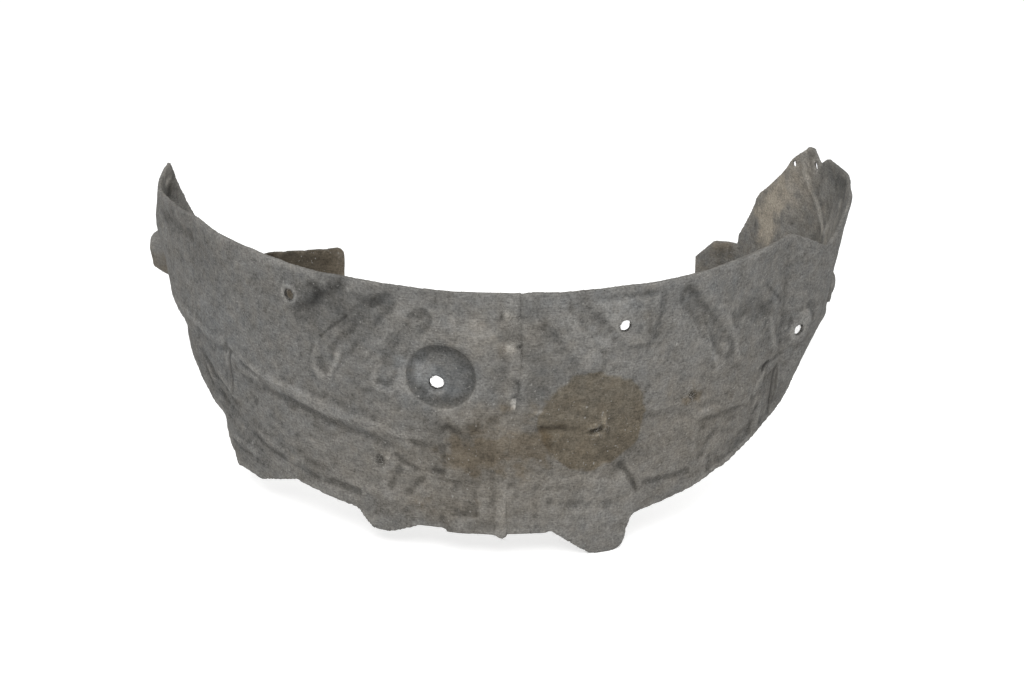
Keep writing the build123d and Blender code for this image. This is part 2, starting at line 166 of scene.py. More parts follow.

# Paler and darker spots, some real marks and some painted shade of the moulding: place, half width, half
# height and amount
marks_and_painted_light_spots = {
    # Painted shade in the sunk valley right of the front hole
    "right of the front hole": ((-26, 268), 44, 24, -0.38),
    "front end": ((-58, 264), 60, 24, -0.14),
    "between the channel ends": ((-20.6, 206), 16, 24, -0.14),
    "left of the front channel": ((-29, 226), 12, 18, -0.14),
    "dish": ((-6.6, 199), 34, 31, -0.22),
    "pale seat of the dish hole": ((-10.6, 210), 10, 13, 0.4),
    "upper mark beside the dish": ((-3.9, 243), 7, 4, 0.25),
    "lower mark beside the dish": ((-4.4, 189), 7, 3, 0.25),
    "crown left of the seam": ((-3.2, 256), 32, 16, 0.26),
    "right of the seam": ((6.8, 225), 16, 74, -0.2),
    "crown right of the seam": ((16, 244), 46, 40, 0.16),
    "hole pad": ((20.2, 272), 18, 14, 0.18),
    "rear field": ((33, 196), 90, 66, 0.13),
    "under the rear tear": ((35.5, 138), 34, 13, 0.12),
    "rear foot": ((31, 83), 50, 12, 0.12),
    "large tongue": ((18, 62), 30, 40, 0.2),
    "rear rim": ((44, 290), 60, 9, 0.1),
    "oval pad": ((59.8, 186), 15, 20, 0.26),
    # Painted shade on the dark facet beside the ridge under the slit
    "facet right of the ridge": ((54.4, 137), 9, 12, -0.14),
    "facets of the rear edge": ((56.5, 106), 22, 40, -0.14),
    "lower edge of the front end": ((-64, 104), 40, 42, -0.1),
    "left field": ((-57, 204), 34, 24, 0.12),
    "outer tongue": ((-43, 46), 30, 12, -0.16),
    "break in the long crest": ((-22.3, 154), 13, 7, -0.32),
    "torn spot left of the recess": ((-17.5, 102), 5, 7, -0.45),
    "dark spot under the dish": ((-7.9, 102), 9, 5, -0.4),
    "brown patch": ((-2, 126), 32, 24, -0.1),
    # Painted shadow at the upper corner of the brown patch
    "corner of the brown patch": ((-6, 148), 20, 11, -0.42),
    "foot of the brown patch": ((-1.5, 98), 26, 8, -0.12),
    "lower stain": ((20.5, 118), 22, 18, -0.3),
    "left foot of the stain": ((9.3, 124), 18, 12, -0.16),
    "upper left of the stain": ((7.4, 186), 15, 18, -0.14),
    "tear of the rear field": ((34, 161), 6, 5, -0.5),
    "fleck beside the rear tear": ((33.3, 159), 1.6, 1.6, 1.4),
    "tear in the stain": ((17.2, 146), 9, 8, -0.12),
    "upper flap of the tear": ((16.6, 149.5), 6, 2.5, 0.6),
    "lower flap of the tear": ((16.85, 140.4), 5, 2.4, 1.2),
    "left of the tear": ((15.2, 151), 10, 8, 0.26),
    "first fleck right of the seam": ((7.9, 171.5), 6, 1.9, 1),
    "second fleck right of the seam": ((8, 163), 2.2, 2.2, 0.7),
    "fleck beside the raised bead": ((6.6, 247), 2.2, 1.2, 0.9),
    "fleck of the front channel": ((-22, 286), 1.8, 1.8, 0.9),
    "fleck of the rear ledge": ((46.5, 121), 1.6, 1.6, 1.1),
    "fleck of the rear field": ((29.8, 226), 1.6, 1.6, 0.9),
    "fleck of the oval pad": ((57.3, 190), 1.6, 1.6, 1),
    "fleck beside the torn spot": ((-16.1, 108), 1.8, 1.8, 1.1),
    # Painted shade in the valley of the front end
    "left valley": ((-70, 267), 20, 10, -0.3),
    "ear": ((-88, 252), 24, 22, -0.55),
    "tip of the ear": ((-88, 284), 20, 14, 0.12),
    "frayed bit of the ear": ((-87, 269), 8, 4, 1.4),
    "upper weld": ((2.6, 276.5), 4.6, 4.4, 1.7),
    "ring of the upper weld": ((2.5, 276), 8, 7.5, -0.3),
    "lower weld": ((3.1, 242), 5.2, 5.2, 1.75),
    "hole of the lower weld": ((4, 243), 1.8, 2.4, -1.3),
    "hole of the upper weld": ((1.75, 275), 1.8, 2.6, -1.1),
    "mark right of the upper weld": ((3.9, 276), 2, 2, -0.35),
    "spot above the white streak": ((3.75, 188), 2, 2.2, -0.45),
    "ring of the lower weld": ((3.1, 242), 9, 8, -0.35),
    "upper wing": ((101.8, 258), 32, 30, 0.62),
    # Painted shade on the wing's facet, which is turned away from the light
    "wing facet": ((88, 288), 34, 26, -0.4),
    "lower right of the wing": ((91, 236), 34, 30, 0.2),
    # Painted shade under the foot of the wing
    "foot of the wing": ((93, 200), 20, 10, -0.3),
    "left side of the wing": ((118, 165), 20, 40, 0.06),
    "first dusty spot of the wing": ((91.1, 222), 7, 9, 0.5),
    "second dusty spot of the wing": ((86.1, 260), 7, 9, 0.5),
    # Painted shade on the inside of the front tail, over its mud
    "front tail": ((-126, 84), 62, 60, -0.5),
    "tip of the front tail": ((-133, 84), 18, 60, 0.4),
    "rear tail": ((122, 112), 24, 24, 0.05),
    "right blotch of the front tail": ((-131.5, 84), 10, 20, -0.25),
    "left blotch of the front tail": ((-122.5, 95), 12, 14, -0.2),
    # Painted shade at the peak of the wing's facet
    "peak of the wing facet": ((96, 277), 10, 14, -0.25),
    "under the white streak": ((4, 169), 9, 8, -0.22),
    "upper left border of the stain": ((10.7, 204), 13, 9, -0.14),
    "left of the dish channel": ((-18.5, 230), 12, 12, -0.14),
    "between the channel lines": ((-27, 242), 12, 10, -0.12),
    "above the dish": ((-11.4, 264), 16, 10, 0.12),
    "right of the raised bead": ((14.9, 271), 14, 10, 0.14),
    "between the welds": ((2.4, 259), 9, 9, 0.12),
    "foot right of the seam": ((9.8, 76), 26, 9, 0.12),
    "lower edge left of the seam": ((-3.5, 45), 20, 9, -0.16),
    "recess": ((-4.4, 89), 16, 9, 0.12),
}

# Paler and darker lines, some real marks and some painted shade and painted highlights of the moulding:
# places, width and amount
marks_and_painted_light_lines = {
    # Painted shade in the valley right of the front hole, at the head and upper wall of the front channel
    # and in the channels' fine lines
    "valley right of the front hole": (hole_valley_line, 11, -0.28),
    "head of the front channel": (((-20, 279), (-16.6, 278)), 6, -0.22),
    "upper wall of the front channel": (((-19, 276), (-22.5, 256), (-26.8, 228)), 6, -0.12),
    "first line of the front channel": (first_channel_line, 1.5, -0.28),
    "second line of the front channel": (second_channel_line, 1.5, -0.24),
    "first line of the dish channel": (((-13.3, 254), (-16.4, 228)), 1.6, -0.28),
    "second line of the dish channel": (((-14.3, 252), (-17.1, 230)), 1.6, -0.2),
    "end of the front channel": (front_channel_end, 2.6, 0.26),
    "end of the dish channel": (dish_channel_end, 2.6, 0.26),
    "ring left of the dish": (((-13.6, 222), (-14.6, 204), (-13.4, 186)), 5, 0.2),
    # Painted highlights on the long crest and on the lips above and under the front groove, and painted
    # shade in the groove
    "long crest": (crest_line, 4.5, 0.28),
    "streak above the front band": (((-66, 174), (-60, 171), (-54, 169)), 5, 0.18),
    "front groove": (groove_line, 10, -0.24),
    "lip under the front groove": (((-36, 66), (-24.7, 72), (-19.3, 65), (-14.2, 60)), 6, 0.18),
    "lower edge": (((-20, 50), (-10, 42), (1, 38)), 11, -0.12),
    "fold of the outer tongue": (((-48.5, 62), (-44, 56)), 4, 0.2),
    "upper seam": (((4.2, 296), (4.6, 223), (4, 190)), 4, -0.1),
    "fine line of the seam": (((4.3, 298), (4.8, 223), (4.2, 190)), 1.3, -0.28),
    "crease under the upper seam": (((4.5, 206), (4.2, 194), (3.9, 189)), 2.2, -0.3),
    "white streak of the seam": (((3.6, 185), (3.6, 176)), 1.3, 3.4),
    "shade left of the white streak": (((2.4, 171), (1, 162), (-3, 158)), 4, -0.26),
    # Painted shadow along the top of the brown patch
    "top of the brown patch": (((-7, 152), (-1, 150)), 5, -0.2),
    # Painted highlight on the rib at the seam's foot, and painted shade beside it
    "foot of the seam": (((2.5, 96), (2.4, 40)), 3, 0.22),
    "right of the seam foot": (((4.4, 100), (4.4, 40)), 5, -0.24),
    # Painted shade under the recess's ledge, and a painted highlight just below it
    "dark line of the recess": (((-9, 91), (2.5, 95)), 2.5, -0.14),
    "pale line of the recess": (((-9, 86), (2, 90)), 2.5, 0.14),
    # Painted highlight on the raised bead; painted shade beside it, on the hole pad's walls and in the
    # rear channel
    "raised bead": (((9.7, 284), (15, 254), (17.5, 236)), 8, 0.2),
    "shade beside the bead": (((11, 262), (15, 238)), 3.5, -0.2),
    "left of the hole pad": (((14.6, 281), (18.6, 258)), 5, -0.32),
    "right of the hole pad": (((24.2, 288), (25, 240)), 8, -0.32),
    "rear channel": (((31.2, 284), (34.6, 264), (37.6, 242)), 7, -0.26),
    "rim left of the rear channel": (((36.6, 221), (39, 184)), 2.8, 0.2),
    "rim right of the rear channel": (((40.8, 234), (43.7, 186)), 2.8, 0.2),
    # Painted shade in the top of the rear hollow and beside the oval pad
    "top of the rear hollow": (((42.6, 238), (46, 244), (50.6, 226)), 8, -0.34),
    "left of the oval pad": (((56.6, 206), (56.2, 188), (57.4, 170)), 6, -0.22),
    "right of the oval pad": (((63, 206), (64.4, 186), (63.4, 168)), 6, -0.2),
    "start of the rear flare": (((51.2, 220), (55.1, 171)), 4, 0.22),
    # Painted shade in the creases under the rear rim and left of the stain
    "crease under the rear rim": (((49.6, 258), (55, 227)), 2.4, -0.18),
    "crease left of the stain": (stain_crease_line, 3, -0.14),
    "dark part of the crease": (((8.2, 154), (11.6, 153.2)), 2.6, -0.36),
    # Painted shade in the slits of the tear
    "tear in the stain": (tear_line, 2.2, -0.6),
    "lower slash of the tear": (((16.15, 139), (17.3, 137.2)), 1.6, -0.45),
    "right of the tear": (((18.7, 151.5), (18.5, 138.5)), 2.4, -0.35),
    "strip beside the tear": (tear_strip_line, 2, 1),
    # Painted shade in the crease of the large tongue
    "crease of the large tongue": (((21.3, 103), (24.3, 70)), 2.4, -0.32),
    "ridges of the large tongue": (((6.6, 95), (14, 96), (20.6, 84)), 7, 0.1),
    # Painted shade in the slit, along its crease, beside its ridge and along the rear edge, and a painted
    # highlight on the ridge
    "slit": (((50.9, 157.6), (52.9, 159)), 2.8, -0.62),
    "crease from the slit": (slit_crease_line, 1.5, -0.26),
    "ridge under the slit": (slit_ridge_line, 4, 0.16),
    "shade right of the ridge": (((52.8, 150), (52.1, 138), (51.4, 127)), 2.2, -0.22),
    "shade along the rear edge": (((57.8, 124), (57.3, 116), (56.5, 100)), 5, -0.18),
    "mark below the ridge": (((51.2, 112), (50, 107)), 2.2, -0.3),
    # Painted shade under the faint ledge, in the slot below the ledge and in the rear groove
    "under the faint ledge": (((23.2, 161), (31.7, 154), (36, 151)), 1.8, -0.18),
    "slot below the ledge": (((50.4, 100), (50.2, 86)), 6, -0.14),
    "rear groove": (((24.1, 76), (29.8, 70), (36, 67)), 5, -0.12),
    # Painted highlight on the wing's crease, and painted shade beside it
    "crease of the wing": (wing_crease_line, 2.6, 0.35),
    "shade right of the wing's crease": (((98.6, 268), (94.5, 238)), 5, -0.25),
}

# Muddy spots: place, half width, half height and amount
mud_spots = {
    "left of the seam": ((-2, 126), 34, 25, 1),
    "between the seam and the stain": ((7, 142), 22, 32, 0.6),
    "foot of the brown patch": ((-5.5, 62), 34, 9, 0.22),
    "across the seam": ((4, 130), 36, 22, 0.25),
    "round the white streak": ((2.6, 178), 8, 8, 0.6),
    "round the rear tear": ((34, 161), 16, 13, 0.85),
    "front tail": ((-127, 76), 130, 80, 0.9),
    "rear tail": ((124, 100), 70, 70, 0.4),
    "front boss": ((-87, 165), 40, 26, 0.6),
}

# Muddy lines: places, width and amount
mud_lines = {
    "streak across the recess": (((-9.5, 68), (1.5, 68)), 6, 0.16),
    "streak left of the recess": (((-14, 56), (-2, 52)), 6, 0.22),
}

# Sandy spots of the wheel side: place, half width, half height and amount
sand_spots = {
    "lower wing": ((110.8, 182), 24, 44, 1),
    "middle of the wing": ((106.5, 230), 26, 30, 0.75),
}

# Warm and, below zero, cool spots: place, half width, half height and amount
warm_spots = {
    "lower crown": ((0, 100), 120, 62, 0.7),
    "crown": ((0, 250), 60, 30, 0.4),
    "rear field": ((35, 122), 100, 66, 0.5),
    "front foot": ((-24, 74), 70, 34, 0.2),
    "lower edge left of the seam": ((-5, 55), 40, 14, 0.4),
    "under the dish": ((-2, 160), 40, 24, 0.7),
    "dish": ((-7.5, 200), 36, 34, -0.7),
    "front field": ((-52, 178), 60, 52, -0.3),
    "front rim": ((-10, 286), 150, 15, -0.1),
    "rear rim": ((24, 284), 90, 20, -0.15),
    "upper wing": ((101.8, 255), 30, 30, 0.5),
    # Cool tint of the painted shade on the wing's facet
    "wing facet": ((88, 285), 34, 26, -0.4),
    "lower wing": ((110.8, 172), 24, 34, 0.4),
    "ear": ((-86, 265), 40, 40, -0.2),
    "front tail": ((-127, 84), 60, 50, 0.9),
}

# Pale lips of the fixing holes
hole_lips = {"front_hole": 0.6, "dish_hole": 0.35, "rear_hole": 0.3, "pad_hole": 0.06}

# Painted shade on the fixing holes' walls, and their pale lips, in millimetres
wall_fade = (0.6, 2.6)
wall_shade = 0.85
lip_gap = 3.4
lip_width = 2.0
hole_zone = 14

# Cutters of the holes, in millimetres
hole_ease = 0.4
sliver = 0.3
rod_reach = 30.0
rod_sides = 32

# Seam, in millimetres: where it shows, and how far and how widely its edges are drawn
seam_reach = (360.6, 361.2)
front_closing = (2.2, 3.5)
front_sinking = (0.9, 3)
front_swell = (0.8, 6)
swell_gap = 7.0
rear_closing = (1, 2.5)

# Strip under the lap at the rim: where it fades, and its drop in millimetres
strip_reach = (360.8, 362)
strip_height = (270, 298)
strip_start = (-3, -1)
strip_end = (5, 7)
strip_drop = 2.6

# Rounds of evening out, and shares of each pull and push
corner_rounds = 12
edge_rounds = 80
mould_rounds = 16
blur_rounds = 70
carry_rounds = 6
bend_rounds = 6
pull_share = 0.5
push_share = -0.53

# Facing of the felt, 1 on the body side, -1 on the wheel side and 0 on a cut edge
edge_facing = 0.5
skin_facing = 0.25
side_facing = (-0.3, 0.3)
cut_facing = (0.2, 0.7)
wall_facing = (0.4, 0.95)
lip_facing = (0.2, 0.6)
fray_edge = (0.1, 0.5)
fray_body = (0.2, 0.5)

# Waves of the felt: height and size in millimetres, and seed
broad_waves = (0.9, 70, 3)
narrow_waves = (0.4, 24, 4)
body_ripples = (0.18, 7, 5)
wheel_ripples = (0.18, 8, 6)
outline_waves = (0.35, 60, 7)
border_along = ((6, 16, 11), (2.5, 6, 12))
border_up = ((6, 16, 13), (2.5, 6, 14))
wave_count = 28
pitch_spread = (0.6, 1.5)
foot_fade = (4, 25)

# Sizes in millimetres above which borders are uneven, and the lines' share of that
uneven_spot = 8
uneven_line = 2
line_share = 0.3

# Bend of a fully worn ridge and of a hollow in full painted shade, in millimetres
full_bend = 0.05

# Round water stain, in millimetres
stain_place = (16.3, 157)
stain_radius = 54.5
stain_uneven = 20.0
stain_border = (-3, 2)

# Loose fibres: sizes in millimetres, counts on each half, and sections from root to tip
fibre_length = 5.0
fibre_thickness = 0.22
fibre_counts = {"edge": 420, "body": 380, "torn": 260, "holes": 120}
fibre_sections = ((0, 1), (0.35, 0.9), (0.7, 0.7), (1, 0.3))
fibre_sides = 3
fibre_seed = 21
fibre_spread = (0.35, 1)
fibre_flatness = 0.75
fibre_lift = 0.30
fibre_curl = 0.5
fibre_skew = 0.01

# Frayed spots by half size in millimetres, and fraying of the seam and the holes
frayed_spots = {
    "torn spot left of the recess": 7,
    "upper weld": 7,
    "lower weld": 7,
    "tear in the stain": 7,
    "tear of the rear field": 6,
}
seam_fray = 0.05
seam_fray_width = 2.5
hole_fray = 4

# Noises of the materials: scale, detail and roughness
cloud_noise = (9, 3, 0.5)
mottle_noise = (46, 4, 0.6)
grain_noise = (420, 3, 0.7)
fibre_noise = (1, 2, 0.6)
streak_noise = (1, 2, 0.5)
hue_noise = (70, 2, 0.5)
fleck_noise = (300, 1, 0.5)
loose_noise = (60, 2, 0.5)

# Stretch of the fibres' noises along the arch, up and through the felt
lying_stretch = (150, 760, 40)
standing_stretch = (620, 190, 40)
streak_stretch = (20, 130, 40)

# Weights of the noises in the felt's colour and in its surface
color_weights = {"cloud": 0.2, "mottle": 0.55, "grain": 1.7, "lying": 0.8, "standing": 0.4, "streak": 0.3}
bump_weights = {"grain": 0.8, "lying": 0.7, "standing": 0.4, "mottle": 0.6}
bump_strength = 0.7
bump_depth = 0.0012

# Colours of the felt, of its fibres and of what lies on it
cool_felt = (0.161, 0.168, 0.172, 1)
warm_felt = (0.187, 0.171, 0.147, 1)
worn_felt = (0.3, 0.29, 0.27)
edge_felt = (0.24, 0.23, 0.21, 1)
fleck_color = (0.36, 0.35, 0.33, 1)
dark_fibre = (0.2, 0.19, 0.17, 1)
pale_fibre = (0.4, 0.385, 0.355, 1)
sand_color = (0.325, 0.29, 0.238)
mud_film = (0.74, 0.66, 0.55)
stain_film = (0.78, 0.71, 0.6)
dust_film = (1.02, 0.93, 0.78)
white = (1, 1, 1, 1)

# Layers of the colours: steps, unevenness and shares
darkest_shade = 0.15
hue_middle = 0.45
hue_uneven = 0.9
hue_step = (-1, 1)
worn_step = (0.38, 0.66)
worn_share = 0.35
# Painted shade in the hollows
hollow_shade = -0.35
mud_uneven = 1.6
mud_step = (0.15, 0.75)
mud_share = 0.85
dust_step = (0.3, 0.7)
dust_share = 0.35
sand_uneven = 0.9
sand_step = (0.1, 0.9)
edge_share = 0.4
fleck_step = (0.7, 0.78)
fleck_share = 0.55
loose_step = (0.35, 0.65)

# Roughness and specular level of each material
felt_gloss = (0.95, 0.12)
fibre_gloss = (0.8, 0.15)
floor_gloss = (0.9, 0.1)

# Camera and stage
camera_place = (0.0206, -1.6287, 0.8851)
camera_tilt = 63.35
camera_roll = 1.43
camera_lens = 52.73
camera_sensor = 36
floor_half = 6.0
floor_color = (0.8, 0.8, 0.795)
floor_glow = 0.45
sky_strength = 0.64
lamp_place = (-0.15, -1.2, 2.4)
lamp_aim = (0, -0.1, 0.15)
lamp_size = 2.0
lamp_energy = 50.0


def linked(name, data):
    """New object in the scene."""
    made = bpy.data.objects.new(name, data)
    bpy.context.scene.collection.objects.link(made)
    return made


def collect(mesh, owner, field, width, kind=np.float64):
    """One field of a mesh as an array of rows."""
    items = getattr(mesh, owner)
    data = np.empty(len(items) * width, kind)
    items.foreach_get(field, data)
    return data.reshape(-1, width)


def place(bearing, height):
    """Place on the unrolled felt, in millimetres."""
    return np.array((arch_radius * radians(bearing), height))


def bell(gap, width):
    """Soft weight of a gap, 1 where there is none."""
    return np.exp(-((gap / width) ** 2))


def line_distance(flat, line):
    """Distance of each point from a line through places on the felt."""
    stops = [place(*stop) for stop in line]
    nearest = np.full(len(flat), np.inf)
    for start, end in zip(stops[:-1], stops[1:]):
        way = end - start
        share = np.clip(((flat - start) @ way) / (way @ way), 0, 1)
        gap = flat - start - share[:, None] * way
        nearest = np.minimum(nearest, np.hypot(gap[:, 0], gap[:, 1]))
    return nearest


def line_weight(flat, line, width):
    """Soft weight along a line, 1 on it."""
    return bell(line_distance(flat, line), width)


def spot_weight(flat, spot, across, tall):
    """Soft weight round a place, 1 in its middle."""
    gap = (flat - place(*spot)) / (across, tall)
    return np.exp(-(gap**2).sum(axis=1))


def ramp(values, start, end):
    """Smooth step from 0 at the start to 1 at the end."""
    share = np.clip((values - start) / (end - start), 0, 1)
    return share * share * (3 - 2 * share)


def waves(flat, height, size, seed):
    """Smooth seeded waves of about one height and size."""
    chance = np.random.default_rng(seed)
    total = np.zeros(len(flat))
    for wave in range(wave_count):
        turn = chance.uniform(0, 2 * pi)
        pitch = chance.uniform(*pitch_spread) * pi / size
        phase = chance.uniform(0, 2 * pi)
        total += np.cos(pitch * (cos(turn) * flat[:, 0] + sin(turn) * flat[:, 1]) + phase)
    return height * (total / np.sqrt(wave_count))


def neighbour_mean(values, pairs, count):
    """Mean of each point's neighbours, or the point's own value where it has none."""
    total = np.bincount(pairs[:, 0], values[pairs[:, 1]], count)
    total += np.bincount(pairs[:, 1], values[pairs[:, 0]], count)
    degree = np.bincount(pairs.ravel(), minlength=count)
    return np.where(degree > 0, total / np.maximum(degree, 1), values)


def mean_points(points, pairs):
    """Mean place of each point's neighbours."""
    return np.column_stack([neighbour_mean(axis, pairs, len(points)) for axis in points.T])


def softened(points, pairs, rounds):
    """Points with corners rounded off, kept from shrinking by a push back after each pull."""
    for step in range(rounds):
        for share in (pull_share, push_share):
            points = points + share * (mean_points(points, pairs) - points)
    return points


def even_edges(points, normals, pairs):
    """Points with the cut edges smoothed along themselves."""
    across, back = points[:, 0], points[:, 1]
    reach = np.hypot(across, back)
    facing = (normals[:, 0] * across + normals[:, 1] * back) / reach
    edge = np.abs(facing) < edge_facing
    along = pairs[edge[pairs[:, 0]] & edge[pairs[:, 1]]]
    return np.where(edge[:, None], softened(points, along, edge_rounds), points)


def eased(values, pairs, skin, rounds):
    """Values evened out along each side of the felt, with the change carried on to its cut edges."""
    count = len(values)
    first, second = skin[pairs[:, 0]], skin[pairs[:, 1]]
    same = pairs[(first == second) & (first != 0)]
    result = values.copy()
    for step in range(rounds):
        result += pull_share * (neighbour_mean(result, same, count) - result)
    change = result - values
    loose = skin == 0
    for step in range(carry_rounds):
        change[loose] = neighbour_mean(change, pairs, count)[loose]
    return values + change


def blurred(reach, flat, pairs, skin):
    """Reach of the felt with the moulding further evened out in some spots."""
    even = eased(reach, pairs, skin, blur_rounds)
    for spot, across, tall in blurred_spots.values():
        reach = reach + spot_weight(flat, spot, across, tall) * (even - reach)
    return reach


def relief(flat):
    """Rise of the felt over its moulded shape, in millimetres."""
    rise = waves(flat, *broad_waves) + waves(flat, *narrow_waves)
    for line, width, height in relief_lines.values():
        rise += height * line_weight(flat, line, width)
    for spot, across, tall, height in relief_spots.values():
        rise += height * spot_weight(flat, spot, across, tall)
    return rise


def rod(middle, way, across, tall):
    """Oval rod through the felt, about its middle and along one way, as a cutter."""
    aside = way.cross(Vector((0, 0, 1))).normalized()
    upward = aside.cross(way)
    points = []
    for depth in (-rod_reach, rod_reach):
        for step in range(rod_sides):
            corner = 2 * pi * step / rod_sides
            offset = across * cos(corner) * aside + tall * sin(corner) * upward
            points.append(middle + (depth * way + offset) / 1000)
    low = list(range(rod_sides))
    high = [rod_sides + step for step in low]
    sides = [(low[step - 1], high[step - 1], high[step], low[step]) for step in low]
    mesh = bpy.data.meshes.new("rod")
    mesh.from_pydata(points, [], sides + [low, high[::-1]])
    return linked("rod", mesh)


def hole_cutters(seam_side):
    """Rods for the fixing holes and the punctures of one half."""
    rods = []
    for mount in bores:
        if mount["pos_m"][0] * seam_side > 0:
            radius = mount["dims"]["r_mm"] + hole_ease
            rods.append(rod(Vector(mount["pos_m"]), Vector(mount["axis"]).normalized(), radius, radius))
    if seam_side < 0:
        return rods
    for (bearing, height, reach), across, tall in punctures.values():
        way = Vector((sin(radians(bearing)), -cos(radians(bearing)), 0))
        middle = (reach * way + Vector((0, 0, height))) / 1000
        rods.append(rod(middle, (middle - Vector(camera_place)).normalized(), across, tall))
    return rods


def without_slivers(mesh):
    """Clear the narrow, doubled and missing faces that a cut left beside it."""
    work = bmesh.new()
    work.from_mesh(mesh)
    bmesh.ops.remove_doubles(work, verts=work.verts, dist=sliver / 1000)
    bmesh.ops.triangulate(work, faces=[face for face in work.faces if len(face.verts) > 4])
    found = {}
    for face in work.faces:
        found.setdefault(frozenset(face.verts), []).append(face)
    doubled = [face for same in found.values() if len(same) > 1 for face in same]
    bmesh.ops.delete(work, geom=doubled, context="FACES")
    bmesh.ops.holes_fill(work, edges=[edge for edge in work.edges if edge.is_boundary], sides=6)
    work.to_mesh(mesh)
    work.free()


def remeshed(node, name, seam_side):
    """Even fine mesh of one half with its holes cut clean, as a new object."""
    shell = linked(name, frame["nodes"][node].data.copy())
    shell.data.materials.clear()
    remesh = shell.modifiers.new("even", "REMESH")
    remesh.mode = "VOXEL"
    remesh.voxel_size = voxel / 1000
    wrap = shell.modifiers.new("on the solid", "SHRINKWRAP")
    wrap.target = frame["nodes"][node]
    wrap.wrap_method = "NEAREST_SURFACEPOINT"
    cutters = hole_cutters(seam_side)
    for cutter in cutters:
        cut = shell.modifiers.new("hole", "BOOLEAN")
        cut.object = cutter
        cut.operation = "DIFFERENCE"
        cut.solver = "EXACT"
    bpy.context.view_layer.update()
    solved = shell.evaluated_get(bpy.context.evaluated_depsgraph_get())
    mesh = bpy.data.meshes.new_from_object(solved)
    without_slivers(mesh)
    shell.modifiers.clear()
    shell.data = mesh
    mesh.name = name
    for cutter in cutters:
        bpy.data.objects.remove(cutter)
    return shell


def rounded_points(mesh, pairs):
    """Points of a mesh with corners rounded off and cut edges evened, and their directions."""
    points = softened(collect(mesh, "vertices", "co", 3), pairs, corner_rounds)
    mesh.vertices.foreach_set("co", points.ravel())
    mesh.update()
    normals = collect(mesh, "vertices", "normal", 3)
    return even_edges(points, normals, pairs), normals


def near_seam(shown, gap, amount, width):
    """Soft amount beside the seam, where it shows."""
    return shown * amount * bell(gap, width)


def seam_drawn_in(turn, reach, height, flat, seam_side):
    """The seam's edges closed up, its upper edge let in and the strip under the lap kept low."""
    gap = line_distance(flat, seam_line)
    shown = ramp(reach, *seam_reach)
    if seam_side < 0:
        turn = turn + near_seam(shown, gap, *front_closing) / arch_radius
        reach = reach - near_seam(shown, gap, *front_sinking)
        reach = reach + near_seam(shown, gap - swell_gap, *front_swell)
        return turn, reach, height
    bearing = np.degrees(turn)
    strip = (1 - ramp(reach, *strip_reach)) * ramp(height, *strip_height)
    strip = strip * ramp(bearing, *strip_start) * (1 - ramp(bearing, *strip_end))
    turn = turn - near_seam(shown, gap, *rear_closing) / arch_radius
    return turn, reach, height - strip_drop * strip


def outline_shifted(turn, height, flat):
    """Places with the outline's corners moved to where the photograph has them."""
    for spot, size, aside, upward in edge_shifts.values():
        near = spot_weight(flat, spot, size, size)
        turn = turn + aside * near / arch_radius
        height = height + upward * near
    return turn, height


def ragged(flat):
    """Places shifted a little, so that patches get uneven borders."""
    along = sum(waves(flat, *wave) for wave in border_along)
    up = sum(waves(flat, *wave) for wave in border_up)
    return flat + np.column_stack((along, up))


def painted(flat, spots, lines):
    """Sum of soft spots and lines, where large ones have uneven borders."""
    uneven = ragged(flat)
    slight = line_share * uneven + (1 - line_share) * flat
    total = np.zeros(len(flat))
    for spot, across, tall, amount in spots.values():
        spread = uneven if min(across, tall) > uneven_spot else flat
        total += amount * spot_weight(spread, spot, across, tall)
    for line, width, amount in lines.values():
        spread = slight if width > uneven_line else flat
        total += amount * line_weight(spread, line, width)
    return total


def hole_marks(points, facing):
    """Painted shade on the fixing holes' walls, the pale lips round them, and the walls themselves."""
    shade = np.zeros(len(points))
    walls = np.zeros(len(points))
    for mount in bores:
        away = 1000 * (points - np.array(mount["pos_m"]))
        axis = np.array(mount["axis"])
        along = away @ axis
        gap = np.linalg.norm(away - along[:, None] * axis, axis=1) - mount["dims"]["r_mm"]
        near = np.abs(along) < hole_zone
        wall = near * (1 - ramp(gap, *wall_fade)) * (1 - ramp(facing, *wall_facing))
        lip = near * bell(gap - lip_gap, lip_width) * ramp(facing, *lip_facing)
        shade += hole_lips[mount["name"]] * lip - wall_shade * wall
        walls = np.maximum(walls, wall)
    return shade, walls


def store(mesh, name, values):
    """One value for each point of a mesh, for its material."""
    layer = mesh.attributes.new(name, "FLOAT", "POINT")
    layer.data.foreach_set("value", values.astype(np.float32))


def paint(half, pairs, skin, body_side):
    """Store on one half's mesh what its material reads."""
    mesh = half["shell"].data
    points, flat, facing = half["points"], half["flat"], half["facing"]
    lean = mean_points(points, pairs) - points
    bend = eased(1000 * (lean * half["normals"]).sum(axis=1), pairs, skin, bend_rounds)
    # The holes' walls get painted shade, and their lips are paler
    hole_tone, walls = hole_marks(points, facing)
    store(mesh, "ridge", np.clip(-bend / full_bend, 0, 1))
    # Hollows take painted shade in the material
    store(mesh, "hollow", np.clip(bend / full_bend, 0, 1))
    store(mesh, "cut_edge", (1 - ramp(np.abs(facing), *cut_facing)) * (1 - walls))
    store(mesh, "wheel_side", 1 - body_side)
    # Real marks and painted shade and highlights of the moulding and the holes
    store(mesh, "shade", painted(flat, marks_and_painted_light_spots, marks_and_painted_light_lines) + hole_tone)
    store(mesh, "warm", painted(flat, warm_spots, {}))
    store(mesh, "mud", painted(flat, mud_spots, mud_lines))
    store(mesh, "sand", painted(flat, sand_spots, {}) * (1 - body_side))
    layer = mesh.attributes.new("flat", "FLOAT_VECTOR", "POINT")
    spread = np.column_stack((flat / 1000, 1 - body_side))
    layer.data.foreach_set("vector", spread.astype(np.float32).ravel())


